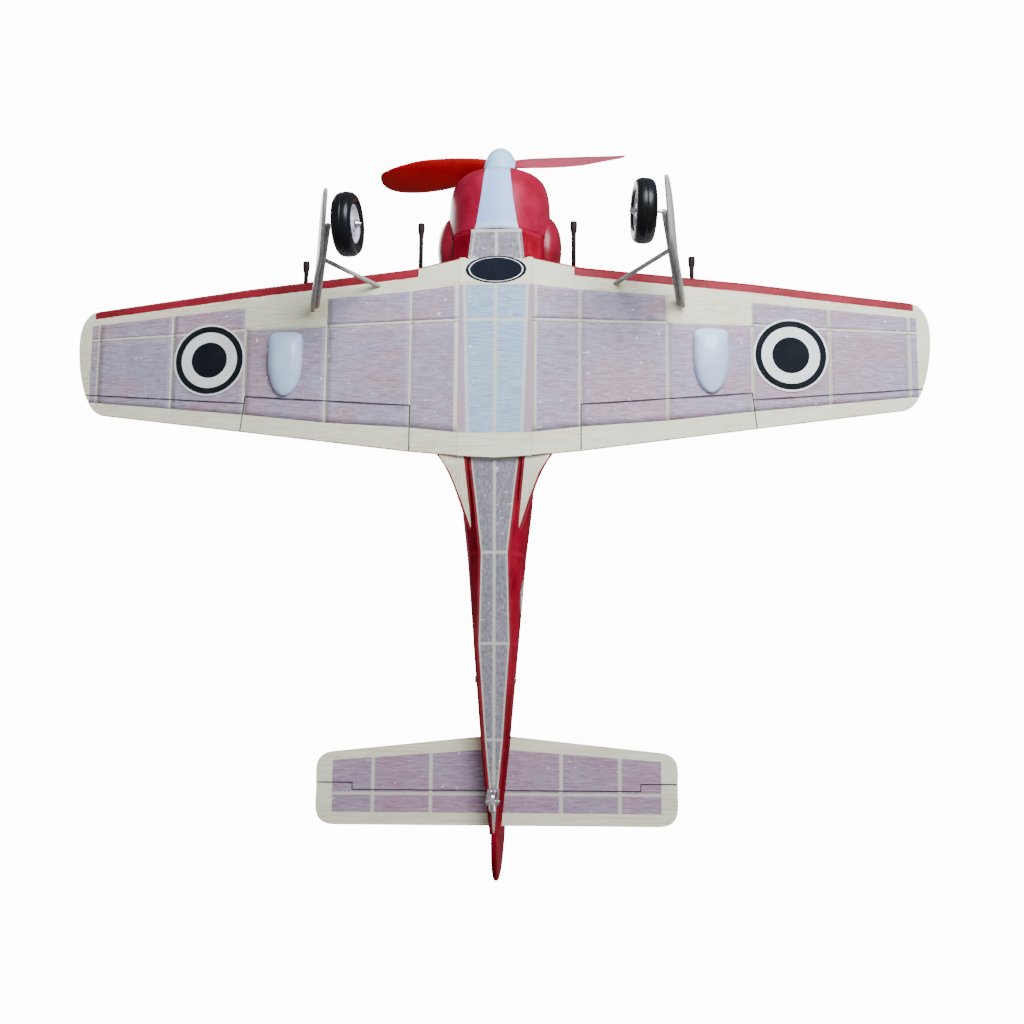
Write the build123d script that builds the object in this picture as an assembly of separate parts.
from build123d import *
import os
from math import asin, atan, atan2, cos, degrees, hypot, radians, sin

# A stick-and-tissue, rubber-powered scale model of a radial-engined fighter.
# Modelling axes, in millimetres: +X to port, +Y aft, +Z up. Y = 0 is just behind the wing's
# foremost line and Z = 0 is the thrust line. stance() then stands the model on its wheels.

os.makedirs("parts", exist_ok=True)

# ---- driving dimensions ----
STICK = 1.6            # balsa sheet and stick, 1/16 inch
SKIN = 0.3             # doped tissue, as a solid
WING_BOTTOM = -24.9    # flat underside of the wing's centre section
CENTRE_HALF = 18.0     # half width of the flat centre section
DIHEDRAL = 0.096       # rise of the underside for each millimetre outboard of it
# wing stations: x, leading edge y, trailing edge y, greatest thickness
WING = [
    (0, -0.6, 101.3, 10.2),
    (18, 1.0, 100.3, 10.0),
    (41, 5.8, 97.8, 9.6),
    (124, 12.8, 85.9, 8.0),
    (212, 22.4, 73.5, 5.6),
]
# airfoil: share of chord, share of thickness; the underside is flat
AIRFOIL = [(0, 0.25), (0.04, 0.6), (0.13, 0.88), (0.3, 1.0), (0.5, 0.9), (0.75, 0.54), (1, 0.14)]
FLAT_START = 0.02      # share of chord where the underside starts
LEAD_SHEET = [(18, 15.6), (41, 17.8), (83, 20.0), (124, 22.8), (204, 29.2)]
TRAIL_SHEET = [(18, 89.0), (41, 86.1), (83, 82.4), (124, 77.3), (204, 68.6)]
SPAR_LINE = [(0, 33.2), (124, 34.4), (161, 36.0), (204, 37.0)]
TIP_START = 204.0
TIP_ROUND = (200.5, 196.5)     # x where the rounded tip leaves the leading and the trailing edge
TIP_POINTS = [
    (204.6, 22.9), (208.2, 26.6), (210.2, 32.6), (210.7, 40.5),
    (209.9, 49.5), (208.2, 58.5), (205.2, 67.0), (201.8, 72.6),
]
RIBS_X = [18.9, 41, 83, 124, 161.5, 200]
WELL_X = (83, 124)
DOUBLER_HALF = 21.7
DOUBLER_DEEP = 4.6
BELLY_FRONT = 15.5
BELLY_REAR = 89.2
BELLY_STICK_X = (16.6, 13.4)   # belly side sticks, half spacing at the front and rear
BELLY_STICK_DEEP = 2.4

# fuselage stations: y, half width, top z, bottom z, belly strip half width, z of the widest point
FUSELAGE = [
    (-12.8, 25.2, 25.2, -25.0, 12.2, 0.0),
    (4, 24.6, 25.6, -24.9, 14.0, 0.0),
    (40, 22.8, 26.6, -24.9, 14.5, 0.0),
    (75, 20.6, 27.0, -24.5, 13.6, 0.0),
    (101.5, 18.8, 26.2, -22.6, 12.5, 0.2),
    (125, 16.9, 24.9, -20.4, 9.8, 0.6),
    (146, 14.4, 23.6, -18.6, 7.5, 1.0),
    (189, 10.9, 20.4, -14.2, 8.5, 1.8),
    (234, 7.1, 17.0, -9.2, 5.4, 3.4),
    (277.9, 2.6, 13.0, -4.0, 1.3, 5.0),
]
LOWER_MID = (0.72, 0.62)       # point between the belly strip and the widest point
UPPER_ARC = [(0.94, 0.42), (0.72, 0.76), (0.38, 0.955)]
FORMERS_Y = [-11.9, 4, 40, 75, 101.5, 146, 189, 234]
RING_DEPTH = 3.4
STRINGER_CORNERS = (1, 3, 5)   # corners of a station's outline that carry a stringer

COWL_FRONT = -48.0
COWL_REAR = -12.9
# cowl outline: y, radius
COWL = [(-48, 15.5), (-47.3, 18.2), (-45.4, 20.9), (-42.2, 23.2), (-35.5, 24.9), (-24, 25.5), (-12.9, 25.4)]
COWL_WALL = 1.4
COWL_FACE = 4.0
COWL_INSIDE_FRONT = (-42.5, 16.0)   # the wall starts behind this y; radius of the face's rear side
PLUG_RADIUS = 7.0
PLUG_LENGTH = 11.0
PLUG_FLANGE = (9.0, 1.6)
BUSH_RADIUS = 1.6
BUSH_PROUD = 0.3
WASHER_RADIUS = 2.2
RUNNING_FIT = 0.05
SHAFT_RADIUS = 0.6
BLISTER_SIDE = ((23.0, -10.5, 0.0), (8.2, 17.0, 10.5))   # centre and half sizes of a cowl bulge

# port blade sections: radius, front edge (y, z), rear edge (y, z), thickness
BLADE = [
    (3.5, (-58.0, 1.2), (-54.2, -1.8), 3.0),
    (10, (-59.0, 1.2), (-51.6, -6.0), 2.6),
    (17, (-59.5, 1.0), (-50.2, -9.4), 2.1),
    (27, (-59.7, 0.7), (-48.7, -13.0), 1.7),
    (41, (-59.3, -0.8), (-48.2, -16.4), 1.4),
    (52.5, (-58.0, -4.2), (-49.3, -18.6), 1.1),
    (59, (-56.8, -7.2), (-50.8, -17.8), 0.9),
    (63, (-55.8, -9.8), (-53.2, -14.6), 0.7),
]
HUB_RADIUS = 3.6
HUB_Y = (-59.0, -52.6)
SPINNER_TIP = -64.6
SPINNER_BASE = -51.2
SPINNER_RADIUS = 8.9
SHAFT_FRONT = -61.4

WHEEL_RADIUS = 15.0
WHEEL_MEAN = (-2.3, -68.0)     # y and z of a wheel's centre, for the stance
WHEEL_AFT = {"left": -2.1, "right": 2.1}   # the hand-set legs put each wheel off that y
LEG_LEAN = {"left": 9.8, "right": 15.6}    # degrees, inward towards the ground
LEG_SWEEP = {"left": -2.4, "right": 2.4}   # degrees, aft towards the ground
WHEEL_CAMBER = 7.0             # degrees, the inner face turned towards the ground
AXLE_REACH = 9.4               # from the leg to the wheel's centre
TYRE_WIDTH = 9.4
HUB_WHEEL_RADIUS = 9.0
HUB_WIDTH = 7.6
AXLE_RADIUS = 0.8
LEG_ROOT = (90.0, -18.2)       # x and z of the leg's plane at the wing
DOOR_THICK = 2.0
# gear door outline in its own plane: y, distance down the leg
DOOR = [
    (27.2, 2.4), (20.4, 2.8), (9.0, 26.0), (-6.0, 38.0), (-15.6, 50.0),
    (-17.0, 61.0), (-13.0, 60.0), (10.4, 45.0), (12.6, 38.0),
]
LEG_TOP_Y = 23.5
LEG_SUNK = 3.0
LEG_RADIUS = 1.3
LEG_INSET = LEG_RADIUS + 0.05  # the leg's centre line, inboard of the door
BRACE_RADIUS = 1.1
BRACE_WING = (58.0, 14.4, -21.0)
BRACE_SHARE = 0.62             # how far down the leg the brace meets it

TAIL_WHEEL = (0.0, 262.5, -13.5)
TAIL_RADIUS = 5.5
TAIL_WIDTH = 3.0
FORK_GAP = 0.45
FORK_PLATE = 1.0
TAIL_STEM = (-6.5, 7.5)        # direction of the stem in y and z
TAIL_STEM_TOP = 12.4           # from the wheel's centre

TAIL_Z = 8.4
TAIL_THICK = 2.4
TAIL_LEAD = [(0, 231.0), (7.5, 231.7), (79.4, 239.2)]
TAIL_EXTREME = (86.8, 256.5)
TAIL_TRAIL_X = 77.5
TAIL_TRAIL_Y = 274.0
TAIL_SHEET = [(0, 237.6), (30, 239.9), (79, 243.4)]
TAIL_TISSUE_REAR = 268.0
TAIL_TISSUE_X = 79.0
TAIL_RIBS_X = [30.5, 58.5]
TAIL_HINGE_Y = 258.4

FIN_ROOT = (229.0, 14.5)
FIN_POINTS = [
    (240, 30), (249.5, 47), (257.5, 60), (266.5, 65.2), (277.5, 60.6),
    (288, 46), (295, 32), (298.6, 20), (297.6, 10), (292.5, 1.6), (285.5, -3.2),
]
FIN_END = (278.2, -4.4)
FIN_FOOT = [(278.2, 13.2), (236, 17.4)]   # where the fin meets the fuselage
FIN_THICK = 2.4
FIN_BORDER = 5.0
FIN_MIDDLE = (274.0, 26.0)
FIN_POST_Y = 272.0
FIN_RIBS_Z = [26, 38, 50]

GUN_RADIUS = 1.1
INNER_GUN = (37.6, 9.0, -18.6, -18.2)     # x, root y, z, muzzle y
OUTER_GUN = (95.2, 16.0, -14.6, -0.7)
TEARDROP = (104.0, 36.8, 68.4, 8.7, 6.0)  # x, front y, rear y, half width, depth
TEARDROP_CORNER = 3.0                     # radius of the front corners
TEARDROP_CROWN = 10.0                     # from its front to where it is deepest
# the tapering end: share of half width, share of length
TEARDROP_TAPER = [(1.0, 0.45), (0.92, 0.66), (0.7, 0.85), (0.36, 0.965), (0, 1.0)]

# canopy arches: y, half width, top z
CANOPY = [
    (36, 6.0, 26.2), (47, 8.2, 33.5), (58, 8.8, 37.6), (70, 8.4, 38.6),
    (84, 7.0, 36.6), (98, 5.0, 32.6), (112, 2.6, 27.6),
]
CANOPY_BASE = 12.0
CANOPY_WALL = 0.5
COCKPIT = (6.0, 52.0, 78.0, 14.0)         # half width, front y, rear y, floor z
HEADREST_TOP = 32.4

PEG_Y = 205.0
PEG_OUTER = 1.6
PEG_INNER = 1.2
PEG_PROUD = 0.4
MOTOR_STRAND = 1.2
MOTOR_WIDTH = 2.4
HOOK_Y = -33.5
HOOK_RING = 2.4

# a root fairing from below: its outer edge and its inner edge, x and y
FAIRING_CURVE = [(28.7, 98.2), (22.4, 108.0), (17.6, 120.0)]
FAIRING_INNER = [(10.2, 133.0), (13.8, 98.2)]
FAIRING_REAR_Y = 135.5
# a root fairing from the side: y, underside z, thickness
FAIRING_SIDE = [(95, -24.0, 1.6), (104, -23.2, 2.0), (120, -19.6, 1.8), (136, -14.6, 1.6)]

FAR = 400.0            # past everything


# ---- small tools ----
def along(points, x):
    """The value at x on the line through (x, value) points."""
    for (x0, v0), (x1, v1) in zip(points, points[1:]):
        if x <= x1:
            break
    return v0 + (v1 - v0) * (x - x0) / (x1 - x0)


def standing(plan, low=-FAR, high=FAR):
    """A vertical solid on a plan face, from low to high."""
    return Pos(0, 0, low) * extrude(plan, high - low)


def prism(points, low=-FAR, high=FAR):
    """A vertical prism on a plan outline."""
    return standing(make_face(Polyline(*points, close=True)), low, high)


def side_plate(outline, thick):
    """A plate in the vertical plane X = 0, from an outline of (y, z) points."""
    return extrude(Plane.YZ * make_face(Polyline(*outline, close=True)), thick / 2, both=True)


def sheet_at(axis, start, stop):
    """All space between two values of one axis, 0 to 2 for x to z."""
    low, high = [-FAR] * 3, [FAR] * 3
    low[axis], high[axis] = start, stop
    return slab(low, high)


def slab(low, high):
    """A box between two corners."""
    size = [b - a for a, b in zip(low, high)]
    return Pos(*[(a + b) / 2 for a, b in zip(low, high)]) * Box(*size)


def rod(start, end, radius):
    """A round rod between two points."""
    start, end = Vector(*start), Vector(*end)
    return Plane(origin=(start + end) * 0.5, z_dir=end - start) * Cylinder(radius, (end - start).length)


def turned(points):
    """A solid turned about the thrust line, from (y, radius) points."""
    outline = make_face(Polyline(*[(r, y) for y, r in points], close=True))
    return revolve(outline, Axis.Y)


def largest(shape):
    return max(shape.solids(), key=lambda solid: solid.volume)


def mirrored(shape):
    return mirror(shape, about=Plane.YZ)


def both_sides(shape):
    return [shape, mirrored(shape)]


# ---- wing ----
def wing_bottom(x):
    return WING_BOTTOM + DIHEDRAL * max(0.0, x - CENTRE_HALF)


def wing_section(x, lead, trail, thick, under, over):
    """The airfoil at one station, thinned by under and over."""
    chord = trail - lead
    base = wing_bottom(x)
    top = [(x, lead + s * chord, base + h * thick - over) for s, h in AIRFOIL]
    heel = (x, trail, base + under)
    toe = (x, lead + FLAT_START * chord, base + under)
    return make_face([Spline(*top), Line(top[-1], heel), Line(heel, toe), Line(toe, top[0])])


def wing_solid(under=0.0, over=0.0):
    """The port wing as one solid from the centreline, squared off past the tip."""
    return loft([wing_section(*station, under, over) for station in WING], ruled=True)


def lead_at(x):
    return along([(s[0], s[1]) for s in WING], x)


def trail_at(x):
    return along([(s[0], s[2]) for s in WING], x)


def tip_trim():
    """A prism that rounds the wing tip."""
    front_x, rear_x = TIP_ROUND
    front = (front_x, lead_at(front_x))
    rear = (rear_x, trail_at(rear_x))
    nose = Spline(front, *TIP_POINTS, rear)
    square = Polyline(rear, (rear_x, FAR), (-FAR, FAR), (-FAR, -FAR), (front_x, -FAR), front)
    return standing(make_face([nose, square]))


def band(line, front, rear, start, stop):
    """A plan strip that follows a line from x = start to stop, shifted by front and rear."""
    knots = [start] + [x for x, _ in line if start < x < stop] + [stop]
    near = [(x, along(line, x) + front) for x in knots]
    far = [(x, along(line, x) + rear) for x in reversed(knots)]
    return prism(near + far)


def wing_parts():
    trim = tip_trim()
    full = wing_solid() & trim
    inner = wing_solid(SKIN, SKIN) & trim
    floor_only = wing_solid(SKIN, 0) & trim
    top_thinned = wing_solid(0, SKIN) & trim

    lead_region = band(LEAD_SHEET, -FAR, 0, CENTRE_HALF, TIP_START)
    trail_region = band(TRAIL_SHEET, 0, FAR, CENTRE_HALF, TIP_START)
    tip_region = sheet_at(0, TIP_START, FAR)
    centre_region = sheet_at(0, 0, CENTRE_HALF)
    spar = inner & band(SPAR_LINE, -STICK / 2, STICK / 2, 0, TIP_START)
    core = full - lead_region - trail_region - tip_region - centre_region
    core_inner = inner - lead_region - trail_region - tip_region - centre_region

    well_start, well_stop = WELL_X[0] + STICK / 2, WELL_X[1] - STICK / 2
    well_front = band(LEAD_SHEET, 0, FAR, well_start, well_stop)
    well_rear = band(SPAR_LINE, -FAR, -STICK / 2, well_start, well_stop)
    well = top_thinned & well_front & well_rear

    ribs = []
    for x in RIBS_X:
        rib = core_inner & sheet_at(0, x - STICK / 2, x + STICK / 2)
        ribs += (rib - spar).solids()

    middle = sheet_at(1, BELLY_FRONT, BELLY_REAR)
    return {
        "full": full,
        "lead": full & lead_region,
        "trail": full & trail_region,
        "tip": full & tip_region,
        "cover": core - core_inner - well,
        "ribs": ribs,
        "spar": spar,
        "well": well,
        "centre": full & centre_region,
        "belly": (full - floor_only) & middle & centre_region,
        "belly_inner": inner & middle & centre_region,
    }


def belly_sticks(belly_inner, spar):
    """The keel stick and one side stick of the wing's centre section."""
    low = sheet_at(2, WING_BOTTOM, WING_BOTTOM + BELLY_STICK_DEEP)
    front_x, rear_x = BELLY_STICK_X
    front_y, rear_y = 0, WING[0][2]
    outer_edge = [(front_x, front_y), (rear_x, rear_y)]
    side = prism(outer_edge + [(rear_x - STICK, rear_y), (front_x - STICK, front_y)])
    keel = sheet_at(0, 0, STICK / 2)
    return belly_inner & low & keel, (belly_inner & low & side) - spar


def teardrop():
    """A teardrop fairing under the port wing, flat against its covering."""
    x, front, rear, half, depth = TEARDROP
    long, radius = rear - front, TEARDROP_CORNER
    mid = radius * (1 - cos(radians(45)))
    corner = ThreePointArc((half - radius, 0), (half - mid, mid), (half, radius))
    taper = [(half * a, long * b) for a, b in TEARDROP_TAPER]
    side = Line((half, radius), taper[0])
    end = Spline(*taper, tangents=[(0, 1), (-1, 0)])
    middle = Polyline((0, long), (0, 0), (half - radius, 0))
    plan = make_face([corner, side, end, middle])
    body = standing(plan + mirrored(plan), -depth, 0)
    dome = scale(Sphere(1), by=(half * 1.15, long * 0.74, depth))
    local = body & (Pos(0, TEARDROP_CROWN, 0) * dome)
    lean = -degrees(atan(DIHEDRAL))
    return Pos(x, front, wing_bottom(x)) * Rot(0, lean, 0) * local


def gun(x, root, z, muzzle, collar):
    """A cannon barrel that enters the leading edge, with a thicker muzzle."""
    barrel = rod((x, root, z), (x, muzzle + 0.5, z), GUN_RADIUS)
    sleeve = rod((x, muzzle + collar, z), (x, muzzle, z), GUN_RADIUS * 1.6)
    return barrel + sleeve


# ---- fuselage ----
def ring_points(station, inset):
    y, half, top, bottom, strip, widest = station
    half, top, bottom, strip = half - inset, top - inset, bottom + inset, strip - 0.4 * inset
    strip = min(strip, half * 0.9)
    rise, drop = top - widest, widest - bottom
    mid = (strip + (half - strip) * LOWER_MID[0], widest - drop * LOWER_MID[1])
    side = [(0, bottom), (strip, bottom + 0.3), mid, (half, widest)]
    side += [(half * a, widest + rise * b) for a, b in UPPER_ARC] + [(0, top)]
    other = [(-x, z) for x, z in reversed(side[1:-1])]
    return [(x, y, z) for x, z in side + other]


def fuselage_solid(inset):
    rings = [make_face(Polyline(*ring_points(s, min(inset, s[1] - 0.6)), close=True)) for s in FUSELAGE]
    return loft(rings, ruled=True)


def stringer(index, inset):
    """A square stick just inside one corner line of the covering, port side."""
    ends = []
    for station in FUSELAGE:
        x, y, z = ring_points(station, min(inset, station[1] - 1.5))[index]
        h = STICK / 2
        corners = [(x - h, y, z - h), (x + h, y, z - h), (x + h, y, z + h), (x - h, y, z + h)]
        ends.append(make_face(Polyline(*corners, close=True)))
    return loft(ends, ruled=True)


def belly_prism():
    """The plan of the belly strip, below the fuselage's widest point."""
    half = [(s[0], s[4]) for s in FUSELAGE]
    left = [(w, y) for y, w in half]
    right = [(-w, y) for y, w in reversed(half)]
    return prism(left + right, -FAR, 0)


def fuselage_parts(cutters):
    outer = fuselage_solid(0)
    inner = fuselage_solid(SKIN)
    hollow = fuselage_solid(SKIN + RING_DEPTH)
    ring = inner - hollow
    keel = ring & sheet_at(0, -STICK / 2, STICK / 2)
    sticks = []
    for index in STRINGER_CORNERS:
        sticks += both_sides((stringer(index, SKIN + STICK / 2) & inner) - keel)
    formers = []
    for y in FORMERS_Y:
        former = ring & sheet_at(1, y - STICK / 2, y + STICK / 2)
        formers.append(former - keel)
    for stick in sticks:
        formers = [former - stick for former in formers]
    cover = outer - inner
    strip = belly_prism()
    half, front, rear, floor = COCKPIT
    well = slab((-half, front, floor), (half, rear, FAR))
    pieces = {
        "fuselage_keel": [keel - well],
        "fuselage_formers": [f - well for f in formers],
        "fuselage_stringers": [s - well for s in sticks],
        "fuselage_side_cover": [cover - strip - well],
        "fuselage_belly_cover": [cover & strip],
    }
    for cutter in cutters:
        pieces = {name: [p - cutter for p in parts] for name, parts in pieces.items()}
    return pieces, outer


def cockpit():
    """The cockpit's floor, just under its opening, and the headrest that stands on it."""
    half, front, rear, floor = COCKPIT
    over, thick, gap = 1.5, 1.1, 0.1
    deck = slab((-half - 4, front - over, floor - gap - thick), (half + 4, rear + over, floor - gap))
    deck = deck & fuselage_solid(SKIN + 2.2)
    rest_half, rest_rear, rest_thick = 2.6, rear - 0.4, 3.8
    pillow = slab((-rest_half, rest_rear - rest_thick, floor), (rest_half, rest_rear, HEADREST_TOP))
    rest = fillet(pillow.edges().filter_by(Axis.Y), rest_half - 1.0)
    return deck, rest


def arch(y, half, top, wall):
    """A canopy arch as a face at one station, shrunk by wall."""
    half, top = half - wall, top - wall
    points = [(-half, CANOPY_BASE), (-half, top - 9), (-half * 0.82, top - 3.4), (-half * 0.42, top - 0.6)]
    points += [(0, top)] + [(-a, b) for a, b in reversed(points)]
    return make_face(Polyline(*[(a, y, b) for a, b in points], close=True))


def canopy(outer):
    shell = loft([arch(y, w, t, 0) for y, w, t in CANOPY], ruled=True)
    first, last = CANOPY[0], CANOPY[-1]
    inside = [(first[0] + 1, first[1], first[2])] + CANOPY[1:-1] + [(last[0] - 1, last[1], last[2])]
    void = loft([arch(y, w, t, CANOPY_WALL) for y, w, t in inside], ruled=True)
    return shell - void - outer


# ---- cowl, nose plug and propeller ----
def cowl_parts(outer):
    """The cowl with its hole for the nose plug, and the bulge on its port side."""
    full = turned([(COWL_FRONT, 0)] + COWL + [(COWL_REAR, 0)])
    wall_front, face_radius = COWL_INSIDE_FRONT
    face_rear, past_rear = COWL_FRONT + COWL_FACE, COWL_REAR + 1
    inside = [(face_rear, 0), (face_rear, face_radius)]
    inside += [(y, r - COWL_WALL) for y, r in COWL if y > wall_front]
    inside += [(past_rear, COWL[-1][1] - COWL_WALL), (past_rear, 0)]
    cowl = full - turned(inside) - rod((0, COWL_FRONT - 1, 0), (0, face_rear + 1, 0), PLUG_RADIUS)
    centre, half = BLISTER_SIDE
    bulge = (Pos(*centre) * scale(Sphere(1), by=half)) - full - outer
    return cowl, largest(bulge)


def thrust_line(radius):
    """A rod along the thrust line, past everything."""
    return rod((0, -FAR, 0), (0, FAR, 0), radius)


def nose_plug():
    """The nose plug with its flange, and the brass bush through it."""
    flange_radius, flange = PLUG_FLANGE
    barrel = rod((0, COWL_FRONT, 0), (0, COWL_FRONT + PLUG_LENGTH, 0), PLUG_RADIUS - RUNNING_FIT)
    disc = rod((0, COWL_FRONT - flange, 0), (0, COWL_FRONT, 0), flange_radius)
    bush_front, bush_rear = COWL_FRONT - flange - BUSH_PROUD, COWL_FRONT + PLUG_LENGTH + 2 * BUSH_PROUD
    bush = rod((0, bush_front, 0), (0, bush_rear, 0), BUSH_RADIUS)
    return barrel + disc - bush, bush - thrust_line(SHAFT_RADIUS + RUNNING_FIT)


def blade():
    """The port blade, lofted through thin lens sections, fused to the hub by the caller."""
    sections = []
    for radius, front, rear, thick in BLADE:
        (y0, z0), (y1, z1) = front, rear
        chord = hypot(y1 - y0, z1 - z0)
        off_y = -(z1 - z0) / chord * thick / 2
        off_z = (y1 - y0) / chord * thick / 2
        mid_y = y0 * 0.6 + y1 * 0.4
        mid_z = z0 * 0.6 + z1 * 0.4
        back = Spline((radius, y0, z0), (radius, mid_y + off_y, mid_z + off_z), (radius, y1, z1))
        face = Spline((radius, y1, z1), (radius, mid_y - off_y * 0.4, mid_z - off_z * 0.4), (radius, y0, z0))
        sections.append(make_face([back, face]))
    return loft(sections)


def propeller():
    """The two-bladed propeller, and the spinner that fits over its hub."""
    port = blade()
    hub = rod((0, HUB_Y[0], 0), (0, HUB_Y[1], 0), HUB_RADIUS)
    body = hub + port + Rot(0, 180, 0) * port
    # spinner outline: distance behind its tip, radius
    dome = [(0, 0), (0.3, 2.0), (1.6, 4.2), (4, 6.4), (7, 7.9), (10, 8.7)]
    outline = [(SPINNER_TIP + back, radius) for back, radius in dome]
    outline += [(SPINNER_BASE, SPINNER_RADIUS), (SPINNER_BASE, 0)]
    hole = rod((0, SHAFT_FRONT - 0.1, 0), (0, 0, 0), SHAFT_RADIUS)
    spinner = turned(outline) - body - hole
    return body - thrust_line(SHAFT_RADIUS), largest(spinner)


def shaft():
    """A wire shaft with a ring hook for the rubber motor."""
    wire = rod((0, SHAFT_FRONT, 0), (0, HOOK_Y - HOOK_RING + 0.2, 0), SHAFT_RADIUS)
    ring = Pos(0, HOOK_Y, 0) * Torus(HOOK_RING, SHAFT_RADIUS)
    return wire + ring


def thrust_washer():
    """The washer between the spinner's base and the bush."""
    front = SPINNER_BASE + RUNNING_FIT
    rear = COWL_FRONT - PLUG_FLANGE[1] - BUSH_PROUD - RUNNING_FIT
    return rod((0, front, 0), (0, rear, 0), WASHER_RADIUS) - thrust_line(SHAFT_RADIUS)


def rubber_motor():
    """The rubber loop, from the shaft's hook to the rear peg."""
    front, rear = HOOK_Y + PEG_OUTER + MOTOR_STRAND / 2, PEG_Y
    inner, outer = PEG_OUTER, PEG_OUTER + MOTOR_STRAND
    length, centre = rear - front, (front + rear) / 2
    loop = SlotCenterToCenter(length, 2 * outer) - SlotCenterToCenter(length, 2 * inner)
    return extrude(Plane.YZ * Pos(centre, 0) * loop, MOTOR_WIDTH / 2, both=True)


def motor_peg():
    """The tube across the rear fuselage that holds the motor's rear end."""
    half = along([(s[0], s[1]) for s in FUSELAGE], PEG_Y) + PEG_PROUD
    tube = rod((-half, PEG_Y, 0), (half, PEG_Y, 0), PEG_OUTER)
    return tube - rod((-FAR, PEG_Y, 0), (FAR, PEG_Y, 0), PEG_INNER)


# ---- landing gear, each side built to port ----
def axle_line(side):
    """The leg's foot, the wheel's centre and the direction from foot to wheel."""
    mean_y, mean_z = WHEEL_MEAN
    y = mean_y + WHEEL_AFT[side]
    z = mean_z + WHEEL_AFT[side] * -sin(stance()[0]) / cos(stance()[0])
    camber = radians(WHEEL_CAMBER)
    inward = Vector(-cos(camber), 0, -sin(camber))
    lean, sweep = radians(LEG_LEAN[side]), radians(LEG_SWEEP[side])
    down = (y - LEG_TOP_Y) * sin(sweep) - (z - inward.Z * AXLE_REACH - LEG_ROOT[1]) * cos(sweep)
    down = (down + LEG_INSET * sin(lean)) / cos(lean)
    foot = Vector(LEG_ROOT[0] - LEG_INSET * cos(lean) - down * sin(lean), y, z - inward.Z * AXLE_REACH)
    return foot, foot + inward * AXLE_REACH, inward


def gear_parts(side):
    """The leg, door, brace and axle of one side."""
    hinge = Pos(LEG_ROOT[0], LEG_TOP_Y, LEG_ROOT[1])
    plane = hinge * Rot(LEG_SWEEP[side], LEG_LEAN[side], 0) * Pos(0, -LEG_TOP_Y, 0)
    outline = make_face(Polyline(*[(y, -down) for y, down in DOOR], close=True))
    door = plane * extrude(Plane.YZ * outline, DOOR_THICK)
    foot, centre, inward = axle_line(side)
    top = (plane * Pos(-LEG_INSET, LEG_TOP_Y + 1.6, LEG_SUNK)).position
    leg = rod(top, foot, LEG_RADIUS) + Pos(*foot) * Sphere(LEG_RADIUS)
    inner_face = centre + inward * (HUB_WIDTH / 2 + 0.5)
    axle = rod(foot, inner_face + inward * 0.8, AXLE_RADIUS)
    cap = Cone(1.9, 0.7, 2.2, align=(Align.CENTER, Align.CENTER, Align.MIN))
    axle += Plane(origin=inner_face, z_dir=inward) * cap
    tip = top + (foot - top) * BRACE_SHARE
    root = Vector(*BRACE_WING)
    brace = rod(root + (root - tip).normalized() * 1.5, tip, BRACE_RADIUS)
    return {"leg": leg - axle, "door": door, "brace": brace - leg, "axle": axle}


def wheel_parts(side):
    """The tyre and hub of one side, on their cambered axle."""
    half, rim = TYRE_WIDTH / 2, HUB_WHEEL_RADIUS
    tread = [(0.72, rim), (0.98, rim + 1.6), (1, rim + 3.2), (0.86, rim + 4.8), (0.5, WHEEL_RADIUS - 0.35)]
    tread = [(-half * a, b) for a, b in tread] + [(0, WHEEL_RADIUS)]
    tread += [(-a, b) for a, b in reversed(tread[:-1])]
    tyre = revolve(make_face([Spline(*tread), Line(tread[-1], tread[0])]), Axis.X)
    tyre -= rod((-TYRE_WIDTH, 0, 0), (TYRE_WIDTH, 0, 0), rim)
    disc = HUB_WIDTH / 2
    flank = [(-disc, AXLE_RADIUS + RUNNING_FIT), (-disc, 3.0), (-disc + 1.2, 4.0), (-disc + 1.6, 7.2)]
    flank += [(-disc + 0.6, rim)]
    outline = flank + [(-a, b) for a, b in reversed(flank)]
    hub = revolve(make_face(Polyline(*outline, close=True)), Axis.X)
    place = Pos(*axle_line(side)[1]) * Rot(0, -WHEEL_CAMBER, 0)
    return place * tyre, place * hub


def tail_wheel_parts():
    """The tail wheel, its fork with one stem, and its pin."""
    centre = Vector(*TAIL_WHEEL)
    up = Vector(0, *TAIL_STEM).normalized()
    half = TAIL_WIDTH / 2
    rim = [(-half, AXLE_RADIUS + RUNNING_FIT), (-half, TAIL_RADIUS - 1.4), (-half * 0.6, TAIL_RADIUS - 0.3)]
    outline = rim + [(0, TAIL_RADIUS)] + [(-a, b) for a, b in reversed(rim)]
    wheel = Pos(*centre) * revolve(make_face(Polyline(*outline, close=True)), Axis.X)

    plate = FORK_PLATE / 2
    arm_x = half + FORK_GAP + plate
    crown = centre + up * (TAIL_RADIUS + 1.8)
    arm = rod((arm_x, centre.Y, centre.Z), (arm_x, crown.Y, crown.Z), 1.0)
    arm = arm & sheet_at(0, arm_x - plate, arm_x + plate)
    boss = rod((arm_x - plate, centre.Y, centre.Z), (arm_x + plate, centre.Y, centre.Z), 1.9)
    bridge = rod((-arm_x - plate, crown.Y, crown.Z), (arm_x + plate, crown.Y, crown.Z), 1.1)
    fork = bridge + rod(crown, centre + up * TAIL_STEM_TOP, 1.3)
    for part in both_sides(arm + boss):
        fork += part
    pin_x = arm_x + plate + 0.4
    pin = rod((-pin_x, centre.Y, centre.Z), (pin_x, centre.Y, centre.Z), AXLE_RADIUS)
    return wheel, fork - pin, pin


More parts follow.
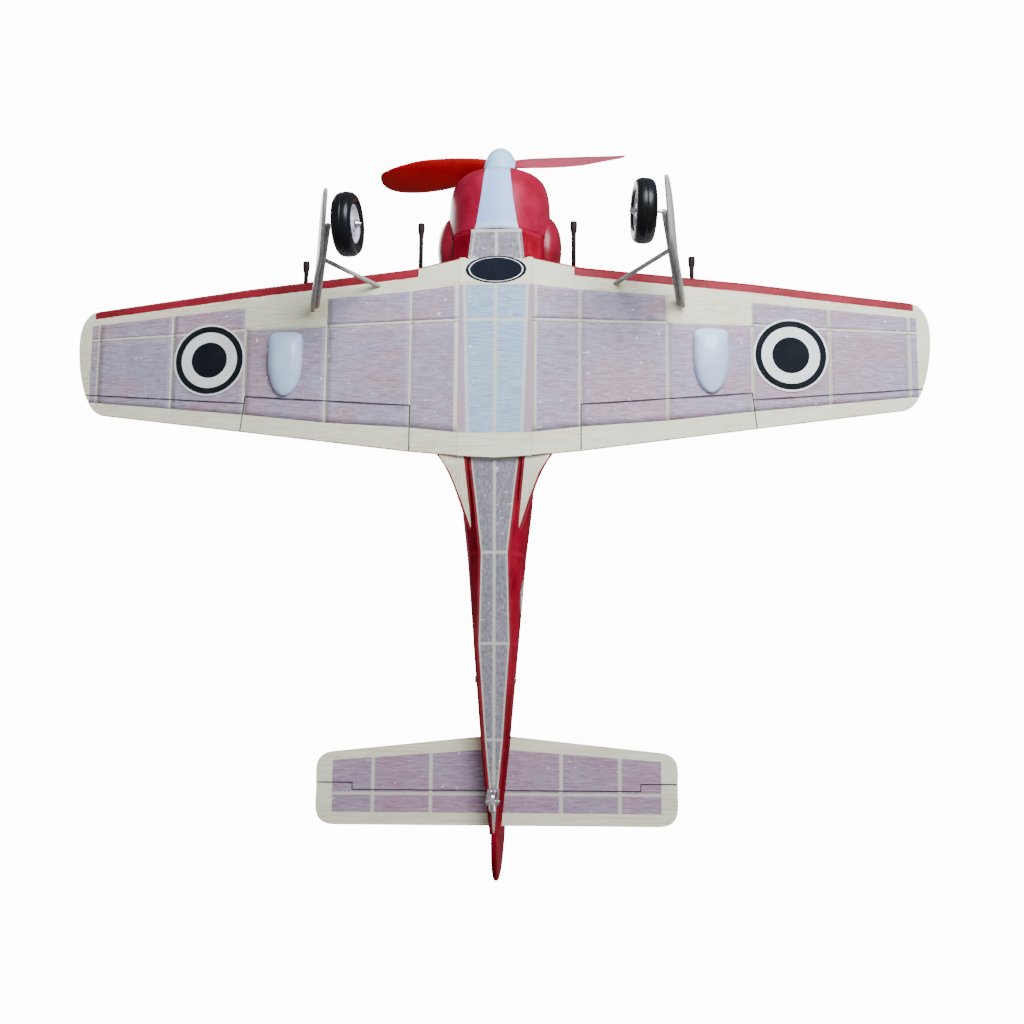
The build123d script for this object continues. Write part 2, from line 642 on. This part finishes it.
# ---- tail surfaces ----
def tailplane_parts():
    tip = Spline(TAIL_LEAD[-1], TAIL_EXTREME, (TAIL_TRAIL_X, TAIL_TRAIL_Y), tangents=[(1, 0.15), (-1, 0.02)])
    edges = Polyline((TAIL_TRAIL_X, TAIL_TRAIL_Y), (0, TAIL_TRAIL_Y), *TAIL_LEAD)
    half = make_face([tip, edges])
    plan = half + mirrored(half)
    solid = standing(plan, TAIL_Z - TAIL_THICK / 2, TAIL_Z + TAIL_THICK / 2)
    opening = prism(TAIL_SHEET + [(TAIL_TISSUE_X, TAIL_TISSUE_REAR), (0, TAIL_TISSUE_REAR)])
    opening = opening + mirrored(opening)
    frame = solid - opening
    core = solid & opening
    thin = TAIL_THICK / 2 - SKIN
    middle = core & sheet_at(2, TAIL_Z - thin, TAIL_Z + thin)
    spar = middle & sheet_at(1, TAIL_HINGE_Y, TAIL_HINGE_Y + STICK)
    ribs = []
    for x in TAIL_RIBS_X:
        rib = (middle & sheet_at(0, x - STICK / 2, x + STICK / 2)) - spar
        ribs += both_sides(rib)
    return frame, [spar] + ribs, core - middle, solid


def fin_parts(cutter):
    edge = Spline(FIN_ROOT, *FIN_POINTS, FIN_END)
    base = Polyline(FIN_END, *FIN_FOOT, FIN_ROOT)
    outline = make_face([edge, base])
    solid = extrude(Plane.YZ * outline, FIN_THICK / 2, both=True)
    rim = FIN_POINTS + [FIN_END, (FIN_ROOT[0] + FIN_BORDER, FIN_ROOT[1])]
    middle = Vector(*FIN_MIDDLE)
    inner_rim = [Vector(*p) + (middle - Vector(*p)).normalized() * FIN_BORDER for p in rim]
    hole = side_plate([(p.X, p.Y) for p in inner_rim], 2 * FIN_THICK)
    post = solid & sheet_at(1, FIN_POST_Y, FIN_POST_Y + STICK) & hole
    ribs = [(hole & solid & sheet_at(2, z, z + STICK)) - post for z in FIN_RIBS_Z]
    skin = extrude(Plane.YZ * outline, FIN_THICK / 2 + SKIN, both=True) - solid
    return [(solid - hole) - cutter], [p - cutter for p in [post] + ribs], [skin - cutter]


def fillet_plate(outer, wing):
    """A thin balsa fairing behind the port wing root, which blends it into the fuselage."""
    rear_x = along([(s[0], s[1]) for s in FUSELAGE], FAIRING_REAR_Y) - 3.6
    curve = Spline(*FAIRING_CURVE, (rear_x, FAIRING_REAR_Y))
    inner = Polyline((rear_x, FAIRING_REAR_Y), *FAIRING_INNER, FAIRING_CURVE[0])
    plan = standing(make_face([curve, inner]))
    upper = [(y, z + drop) for y, z, drop in reversed(FAIRING_SIDE)]
    sheet = side_plate([(y, z) for y, z, _ in FAIRING_SIDE] + upper, 80)
    return largest((plan & sheet) - outer - wing)


# ---- standing on its wheels ----
def stance():
    """Turns the modelling axes so that all three wheels rest on Z = 0."""
    wheel_y, wheel_z = WHEEL_MEAN
    dy, dz = TAIL_WHEEL[1] - wheel_y, TAIL_WHEEL[2] - wheel_z
    turn = asin((TAIL_RADIUS - WHEEL_RADIUS) / hypot(dy, dz)) - atan2(dz, dy)
    rise = WHEEL_RADIUS - (wheel_y * sin(turn) + wheel_z * cos(turn))
    return turn, rise


def gear_nodes(side, seen):
    """One side's gear nodes. seen turns a port piece to its own side."""
    gear = gear_parts(side)
    tyre, hub = wheel_parts(side)
    parts = {
        "gear_leg": gear["leg"],
        "gear_door": gear["door"],
        "wheel_axle": gear["axle"],
        "wheel_tyre": tyre,
        "wheel_hub": hub,
    }
    nodes = {f"{side}_{name}": [seen(part)] for name, part in parts.items()}
    return nodes, seen(gear["leg"]), seen(gear["brace"])


def main():
    wing = wing_parts()
    wings = wing["full"] + mirrored(wing["full"])
    frame, tail_sticks, tail_cover, tail_solid = tailplane_parts()
    tail_wheel, fork, tail_pin = tail_wheel_parts()
    peg_hole = rod((-FAR, PEG_Y, 0), (FAR, PEG_Y, 0), PEG_OUTER)
    body, outer = fuselage_parts([wings, tail_solid, fork, peg_hole])
    cowl, bulge = cowl_parts(outer)
    plug, bush = nose_plug()
    prop, spinner = propeller()
    left_gear, left_leg, left_brace = gear_nodes("left", lambda part: part)
    right_gear, right_leg, right_brace = gear_nodes("right", mirrored)
    inner_gun = gun(*INNER_GUN, 6.0)
    outer_gun = gun(*OUTER_GUN, 5.0)
    deck, rest = cockpit()
    fin_frame, fin_sticks, fin_cover = fin_parts(tail_solid + outer)
    keel_half, side_stick = belly_sticks(wing["belly_inner"], wing["spar"])
    centre = wing["centre"] + mirrored(wing["centre"])
    spars = wing["spar"] + mirrored(wing["spar"])
    doubler_front, doubler_base = SPAR_LINE[0][1] + 1.1, WING_BOTTOM + 2.8
    doubler = slab(
        (-DOUBLER_HALF, doubler_front, doubler_base),
        (DOUBLER_HALF, doubler_front + STICK, doubler_base + DOUBLER_DEEP),
    )
    doubler -= spars
    fairing = fillet_plate(outer, wings)

    nodes = dict(body)
    nodes.update({
        "cowl": [cowl],
        "cowl_side_bulges": both_sides(bulge - wings),
        "canopy": [canopy(outer)],
        "cockpit_floor": [deck],
        "headrest": [rest],
        "motor_peg": [motor_peg()],
        "rubber_motor": [rubber_motor()],
        "nose_plug": [plug],
        "thrust_bush": [bush],
        "thrust_washer": [thrust_washer()],
        "propeller": [prop],
        "spinner": [spinner],
        "prop_shaft": [shaft()],
        "wing_front_plate": [centre & sheet_at(1, -FAR, BELLY_FRONT)],
        "wing_rear_plate": [centre & sheet_at(1, BELLY_REAR, FAR)],
        "wing_belly_cover": [wing["belly"] + mirrored(wing["belly"])],
        "wing_belly_sticks": [keel_half + mirrored(keel_half) - spars] + both_sides(side_stick),
        "spar_doubler": [doubler],
        "wing_spars": both_sides(wing["spar"]),
        "gear_blocks": [wing["well"] - left_leg, mirrored(wing["well"]) - right_leg],
        "gear_braces": [left_brace, right_brace],
        "teardrop_fairings": both_sides(teardrop()),
        "inner_guns": both_sides(inner_gun),
        "outer_guns": both_sides(outer_gun),
        "root_fairings": both_sides(fairing),
        "tailplane_outline": [frame],
        "tailplane_sticks": tail_sticks,
        "tailplane_cover": [tail_cover],
        "fin_outline": fin_frame,
        "fin_sticks": fin_sticks,
        "fin_cover": fin_cover,
        "tail_fork": [fork],
        "tail_wheel": [tail_wheel],
        "tail_axle": [tail_pin],
    })
    nodes.update(left_gear)
    nodes.update(right_gear)
    lead = wing["lead"] - inner_gun - outer_gun
    for side, seen, leg, brace in (
        ("left", lambda part: part, left_leg, left_brace),
        ("right", mirrored, right_leg, right_brace),
    ):
        nodes[side + "_leading_edge"] = [seen(lead) - brace]
        nodes[side + "_trailing_edge"] = [seen(wing["trail"])]
        nodes[side + "_wing_tip"] = [seen(wing["tip"])]
        nodes[side + "_wing_ribs"] = [seen(rib - doubler) for rib in wing["ribs"]]
        nodes[side + "_wing_cover"] = [seen(wing["cover"]) - leg]

    turn, rise = stance()
    tilt = Pos(0, 0, rise) * Rot(degrees(turn), 0, 0)
    groups = {}
    for name, parts in nodes.items():
        groups[name] = Compound([tilt * solid for part in parts for solid in part.solids()])
    whole = Compound(list(groups.values())).bounding_box()
    centre_y = (whole.min.Y + whole.max.Y) / 2
    for name, group in groups.items():
        export_step(Pos(0, -centre_y, 0) * group, f"parts/{name}.step")
    print(f"{len(nodes)} nodes; tilted {degrees(turn):.5f} degrees")
    print(f"raised {rise:.5f}, moved forward {centre_y:.5f}")
    for side, sign in (("left", 1), ("right", -1)):
        centre = axle_line(side)[1]
        print(f"{side} wheel centre {sign * centre.X:.4f}, {centre.Y:.4f}, {centre.Z:.4f}")


if __name__ == "__main__":
    main()
